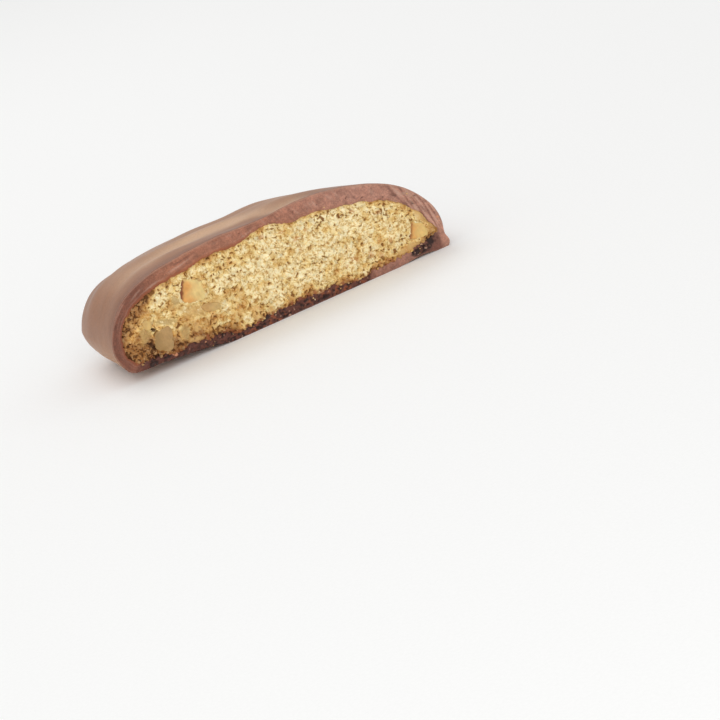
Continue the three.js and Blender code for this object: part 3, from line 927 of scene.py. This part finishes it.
PALE = [
    (-17.0, 9.3, 1.2, 0.9, 0), (-9.6, 2.9, 0.9, 0.45, 0), (14.0, 7.2, 0.8, 2.0, 10),
    (-22.6, 6.2, 0.4, 0.5, 0), (17.6, 2.8, 0.5, 0.7, 0), (2.3, 4.8, 0.8, 1.4, 15),
    (7.5, 8.6, 0.8, 1.2, 20), (-2.5, 9.0, 1.0, 0.8, 0)]
AT_ONCE = 4000  # points compared with the outline at a time, which saves memory


def edge_distance(points):
    """Distance of each point of the cut to the biscuit's outline."""
    flat, ring = points[:, [0, 2]], crumb_ring[::4]
    nearest = np.empty(len(flat))
    for start in range(0, len(flat), AT_ONCE):
        some = flat[start:start + AT_ONCE, None, :] - ring[None, :, :]
        nearest[start:start + AT_ONCE] = np.sqrt((some ** 2).sum(2).min(1))
    return nearest


def nut_share(points, grow):
    """1 where a nut piece lies in the face, 0 outside it grown by so much."""
    total = np.zeros(len(points))
    for nut in NUTS:
        wide, high = nut["half"][0] + grow, nut["half"][2] + grow
        reach = oval(points, nut["x"], nut["z"], wide, high, nut["turn"])
        inside = 1 - smoothstep(0.8, 1.0, reach)
        for side, distance in nut["flats"]:
            past = towards(points - (nut["x"], 0, nut["z"]), side)[0] - distance - grow
            inside = inside * (1 - smoothstep(-0.3, 0.0, past))
        total = np.maximum(total, inside)
    return total


def cells(points, size, seed):
    """Distance to the nearest of scattered middles, as a share of size, and its number."""
    near, number = [], []
    for p in points / size + seed:
        distances, middles = noise.voronoi(Vector(p))
        near.append(distances[0])
        number.append(noise.cell(middles[0] * 7.0))
    return np.array(near), np.clip(np.array(number), 0, 1)


# %% Relief and tones of the broken face
FACE_SETBACK = 0.24  # mm behind the knife's plane
NUT_SETBACK = 0.4  # more where a nut piece fills the face
CRAGS, CLUMPS, CRUMBS, MEAL, GRAINS = 0.14, 0.14, 0.08, 0.05, 0.1  # relief in mm, coarse to fine
PORE_DEPTH, HOLLOW_DEPTH, EDGE_DEPTH = 0.16, 0.3, 0.08
PORE_STARTS, PORE_FULL = 0.46, 0.72  # more of either makes fewer pores
WARP, CALMED = 0.2, 0.85  # how far cells are bent, in mm, and how much flatter calm places are
FACE_LIMITS = (0.02, 1.3)

x, z = face_points[:, 0], face_points[:, 2]
edge = edge_distance(face_points)
smooth, tan, khaki = (spots(face_points, places, 0.5) for places in (SMOOTH, TAN, KHAKI))
hollow, orange = spots(face_points, HOLLOWS, 0.4), spots(face_points, ORANGE, 0.5)
under_nuts, beside_nuts = nut_share(face_points, -0.1), nut_share(face_points, 0.7)
calm = 0.9 * smooth + 0.65 * tan + 0.8 * khaki + under_nuts
calm = np.clip(calm + 0.7 * smoothstep(0.5, 0.2, under_top) * smoothstep(-19, -15, x), 0, 1)
warped = face_points + WARP * np.column_stack([
    uneven(face_points, 0.7, 51.0), 0 * edge, uneven(face_points, 0.7, 52.0)])
patches, crags, clumps = (uneven(face_points, size, seed) for size, seed in (
    (2.4, 56.0), (2.0, 53.0), (0.9, 54.0)))
crumbly, mealy = uneven(warped, 0.48, 61.0), uneven(warped, 0.26, 62.0)
grain_near, grain_number = cells(warped, 0.4, 5.0)
fine_number = cells(warped, 0.2, 7.0)[1]

bake = 0.04 + 0.32 * patches + 0.24 * clumps  # 0 is pale cream and 1 is brown
bake += 0.9 * smoothstep(3.4, 0.4, edge) * smoothstep(-16.0, -20.0, x)  # round the left end
bake += 0.45 * smoothstep(-6, -15, x) * smoothstep(7.5, 4.0, z)  # low on the left
bake += 0.14 * smoothstep(10, 18, x) + 0.2 * smoothstep(0, -8, x)  # beside the pale middle
bake += 0.5 * smoothstep(2.6, 0.2, over_base) + 0.3 * smoothstep(1.3, 0.0, under_top)
bake -= 0.35 * spots(face_points, PALE, 0.6)
holes = 0.7 * crumbly + 0.5 * mealy + 0.4 * uneven(face_points, 2.4, 63.0) - 0.22
holes += 0.4 * np.clip(bake, 0, 1) ** 2 + 0.2 * smoothstep(4.0, 1.0, edge)
pore = smoothstep(PORE_STARTS, PORE_FULL, holes) * (1 - calm)
rough = 1 - CALMED * calm
depth = FACE_SETBACK * (1 - 0.45 * beside_nuts * (1 - under_nuts)) + NUT_SETBACK * under_nuts
depth += rough * (CRAGS * crags + CLUMPS * clumps + CRUMBS * crumbly + MEAL * mealy
                  + GRAINS * (grain_near - 0.5))
depth += PORE_DEPTH * pore + HOLLOW_DEPTH * hollow + EDGE_DEPTH * smoothstep(0.4, 0.0, edge)
depth = np.clip(depth, *FACE_LIMITS)
tone = 0.62 + 0.4 * (grain_number - 0.5) + 0.4 * (fine_number - 0.5)
# Painted shade: the tone drops where the crumbly and mealy relief push the face back.
tone -= rough * (0.26 * crumbly + 0.24 * mealy)
crust = smoothstep(0.85, 0.1, over_base + 0.5 * uneven(face_points, 0.7, 57.0))
baked = smoothstep(0.55, 1.0, bake)
# Painted shade in the crevices, deepest at the far left.
crevice_shade = hollow * (0.35 + 0.45 * smoothstep(-18, -19, x))
# pore and hollow are painted shade in the pores, the crevices and the baked pores.
face_numbers = {
    "bake": bake, "tone": tone, "crust": 0.75 * crust * smoothstep(19, 16, x),
    "fleck": 0.5 * orange, "pore": 0.85 * pore * (1 - 0.5 * baked),
    "smooth": 0.7 * smooth + 0.4 * smoothstep(0.3, 0.1, under_top) * smoothstep(-2, 2, x),
    "khaki": 0.65 * khaki, "tan": 0.6 * tan, "hollow": np.maximum(crevice_shade, 0.6 * pore * baked),
    "bare": (1 - under_nuts) * rough * (1 - 0.8 * pore) * (1 - hollow)}
print("relief of the crumb from", round(depth.min(), 2), "to", round(depth.max(), 2), "mm")

# %% The crumb as one body
CRUMB_ROWS = 10
REAR_GAP = 0.3  # between the crumb and the chocolate behind it, in mm
FACE_CLEAR = 0.05  # the sides start this far behind the face
face_points[:, 1] = depth


def grid_faces(rows, columns):
    """Four-sided faces of a grid of points."""
    index = np.arange(rows * columns).reshape(rows, columns)
    quads = np.stack([index[:-1, :-1], index[:-1, 1:], index[1:, 1:], index[1:, :-1]], axis=-1)
    return [tuple(int(i) for i in q) for q in quads.reshape(-1, 4)]


face_index = np.arange(UPWARDS * ACROSS).reshape(UPWARDS, ACROSS)
border = np.r_[face_index[-1, :-1], face_index[0, ::-1][:-1]]
border_points = face_points[border]
behind = rows_behind(grown, DEPTH - REAR_WALL - REAR_GAP, CRUMB_ROWS)
for row in behind[:-1]:
    row[:, 1] = np.maximum(row[:, 1], border_points[:, 1] + FACE_CLEAR)
back_points, back_faces = wrapped([border_points] + behind)
offset = len(face_points) - len(border_points)
to_whole = np.r_[border, np.arange(len(border_points), len(back_points)) + offset]
faces = grid_faces(UPWARDS, ACROSS)
faces += [tuple(dict.fromkeys(int(to_whole[i]) for i in face)) for face in back_faces]
crumb_points = np.vstack([face_points, back_points[len(border_points):]])
rest = np.zeros(len(crumb_points) - len(face_points))
crumb_numbers = {name: np.r_[np.clip(values, 0, 1), rest] for name, values in face_numbers.items()}
crumb = mesh_object("biscuit_crumb", crumb_points, faces, [baked_crumb()], crumb_numbers)
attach(crumb, "root")
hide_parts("crumb")
print("crumb:", len(crumb.data.polygons), "faces")

# %% [markdown]
# ## Grains that lie on the cut
#
# About fifteen hundred grains and three hundred clumps of crumb stick to the face, and a little
# dust fell on the chocolate. They are one tree of geometry nodes: it scatters points on a
# surface, more where an attribute says so, puts a small rough stone on each, turned and sized
# at random with a fixed seed, and makes them real.

# %% The tree that scatters grains
TREE_INPUTS = {
    "Surface": "Geometry", "Where": "Float", "Spacing": "Float", "Per Square Metre": "Float",
    "Smallest": "Vector", "Largest": "Vector", "Facets": "Int", "Roughening": "Float",
    "Sunk": "Float", "Seed": "Int", "Finish": "Material"}


def scatter_tree():
    tree = bpy.data.node_groups.new("grains_on_a_surface", "GeometryNodeTree")
    for name, kind in TREE_INPUTS.items():
        tree.interface.new_socket(name, in_out="INPUT", socket_type=f"NodeSocket{kind}")
    tree.interface.new_socket("Grains", in_out="OUTPUT", socket_type="NodeSocketGeometry")
    given = add(tree, "NodeGroupInput").outputs
    points = add(tree, "GeometryNodeDistributePointsOnFaces", {
        "Mesh": given["Surface"], "Distance Min": given["Spacing"],
        "Density Max": given["Per Square Metre"], "Density Factor": given["Where"],
        "Seed": given["Seed"]}, distribute_method="POISSON")
    tone = add(tree, "FunctionNodeRandomValue", {"Seed": 1}, data_type="FLOAT")
    toned = add(tree, "GeometryNodeStoreNamedAttribute", {
        "Geometry": points, "Name": "tone", "Value": tone.outputs[1]},
        data_type="FLOAT", domain="POINT")
    down = add(tree, "ShaderNodeVectorMath", {
        0: points.outputs["Normal"], "Scale": given["Sunk"]}, operation="SCALE")
    settled = add(tree, "GeometryNodeSetPosition", {"Geometry": toned, "Offset": down})
    stone = add(tree, "GeometryNodeMeshIcoSphere", {"Radius": 1.0, "Subdivisions": given["Facets"]})
    turned = add(tree, "FunctionNodeRandomValue", {
        1: (math.tau, math.tau, math.tau), "Seed": 2}, data_type="FLOAT_VECTOR")
    sized = add(tree, "FunctionNodeRandomValue", {
        0: given["Smallest"], 1: given["Largest"], "Seed": 3}, data_type="FLOAT_VECTOR")
    stones = add(tree, "GeometryNodeInstanceOnPoints", {
        "Points": settled, "Instance": stone, "Rotation": turned.outputs[0],
        "Scale": sized.outputs[0]})
    real = add(tree, "GeometryNodeRealizeInstances", {"Geometry": stones})
    lumps = add(tree, "ShaderNodeTexNoise", {"Scale": 3.0 / MM, "Detail": 1.0}).outputs["Color"]
    push = add(tree, "ShaderNodeVectorMath", {0: lumps, 1: (0.5, 0.5, 0.5)}, operation="SUBTRACT")
    push = add(tree, "ShaderNodeVectorMath", {
        0: push, "Scale": given["Roughening"]}, operation="SCALE")
    rough_stones = add(tree, "GeometryNodeSetPosition", {"Geometry": real, "Offset": push})
    coloured = add(tree, "GeometryNodeSetMaterial", {
        "Geometry": rough_stones, "Material": given["Finish"]})
    add(tree, "NodeGroupOutput", {"Grains": coloured})
    return tree


grains_on_a_surface = scatter_tree()


def scatter(name, surface, where, **values):
    """A mesh of grains on a surface, more where the attribute called where is near 1."""
    holder = placed(name, surface.data.copy())
    modifier = holder.modifiers.new("grains", "NODES")
    modifier.node_group = grains_on_a_surface
    identifiers = {item.name: item.identifier for item in grains_on_a_surface.interface.items_tree}
    for socket, value in values.items():
        modifier[identifiers[socket.replace("_", " ")]] = value
    modifier[identifiers["Where"] + "_use_attribute"] = True
    modifier[identifiers["Where"] + "_attribute_name"] = where
    bpy.context.view_layer.update()
    evaluated = holder.evaluated_get(bpy.context.evaluated_depsgraph_get())
    made = bpy.data.meshes.new_from_object(evaluated)
    bpy.data.objects.remove(holder)
    made.name = name
    piece = placed(name, made)
    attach(piece, "root")
    return piece


# %% Grains and clumps on the crumb, and dust on the cut chocolate
loose_crumb = grain_material()


def stones(spacing, most, smallest, largest, facets, roughening, sunk, seed):
    """A tree's inputs, from millimetres and the most grains on a square millimetre."""
    return dict(
        Spacing=spacing * MM, Per_Square_Metre=most / MM ** 2, Facets=facets, Seed=seed,
        Smallest=[size * MM for size in smallest], Largest=[size * MM for size in largest],
        Roughening=roughening * MM, Sunk=sunk * MM, Finish=loose_crumb)


for name, surface, where, values in (
        ("crumb_grains", crumb, "bare", stones(
            0.35, 5, (0.07, 0.06, 0.05), (0.24, 0.2, 0.16), 1, 0.12, -0.06, seed=4)),
        ("crumb_clumps", crumb, "bare", stones(
            0.8, 1.4, (0.2, 0.16, 0.16), (0.4, 0.32, 0.28), 2, 0.2, -0.14, seed=9)),
        ("crumb_dust", coat, "dust", stones(
            0.25, 8, (0.05, 0.04, 0.04), (0.14, 0.11, 0.1), 1, 0.06, 0.02, seed=15))):
    piece = scatter(name, surface, where, **values)
    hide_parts("crumb")
    print(piece.name, len(piece.data.polygons), "faces")

# %% [markdown]
# ## Floor, light and air
#
# The half stands on a plain white sheet. A white sky gives even light and the pale sheen on the
# chocolate, a wide soft lamp above and behind draws the long highlights along its waves, and a
# weaker one from the front opens the shadows in the crumb.

# %% Floor
FLOOR_HALF = 3.0  # metres
floor_mesh = bpy.data.meshes.new("floor")
corners = [(FLOOR_HALF * a, FLOOR_HALF * b, 0) for a, b in ((-1, -1), (1, -1), (1, 1), (-1, 1))]
floor_mesh.from_pydata(corners, [], [(0, 1, 2, 3)])
floor = placed("floor", floor_mesh)
paper, paper_tree, paper_shader, paper_place = new_material("white_paper", Roughness=0.9)
fibres = pattern(paper_tree, paper_place, 0.4, detail=2)
paper_tone = between(paper_tree, fibres, colour("f8f8f7"), colour("fafaf9"), 0.3, 0.7)
finished(paper_tree, paper_shader, paper_tone, fibres, 0.002)
floor_mesh.materials.append(paper)
floor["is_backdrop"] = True

# %% Light
SKY_STRENGTH = 0.75
world = bpy.data.worlds.new("white_sky")
world.use_nodes = True
sky = world.node_tree.nodes["Background"]
sky.inputs["Color"].default_value = (1, 1, 1, 1)
sky.inputs["Strength"].default_value = SKY_STRENGTH
bpy.context.scene.world = world


def soft_lamp(name, place, aim, width, height, watts):
    """A rectangular lamp at a place in millimetres that looks at another."""
    lamp = bpy.data.lights.new(name, "AREA")
    lamp.shape = "RECTANGLE"
    lamp.size, lamp.size_y = width * MM, height * MM
    lamp.energy = watts
    here, there = Vector(in_frame(place)), Vector(in_frame(aim))
    turned = (there - here).to_track_quat("-Z", "Y").to_matrix().to_4x4()
    placed(name, lamp).matrix_world = Matrix.Translation(here) @ turned


soft_lamp("lamp_above", (-120, 260, 420), (0, 8, 8), 420, 260, 0.5)
soft_lamp("lamp_front", (-80, -460, 240), (0, 0, 7), 300, 300, 0.6)
bpy.context.scene.view_settings.view_transform = "Standard"

# %% The finished half
dressed_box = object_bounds()
for name, (low, high) in (("solid", solid_box), ("dressed", dressed_box)):
    print(name, "size in mm:", [round((b - a) / MM, 2) for a, b in zip(low, high)])
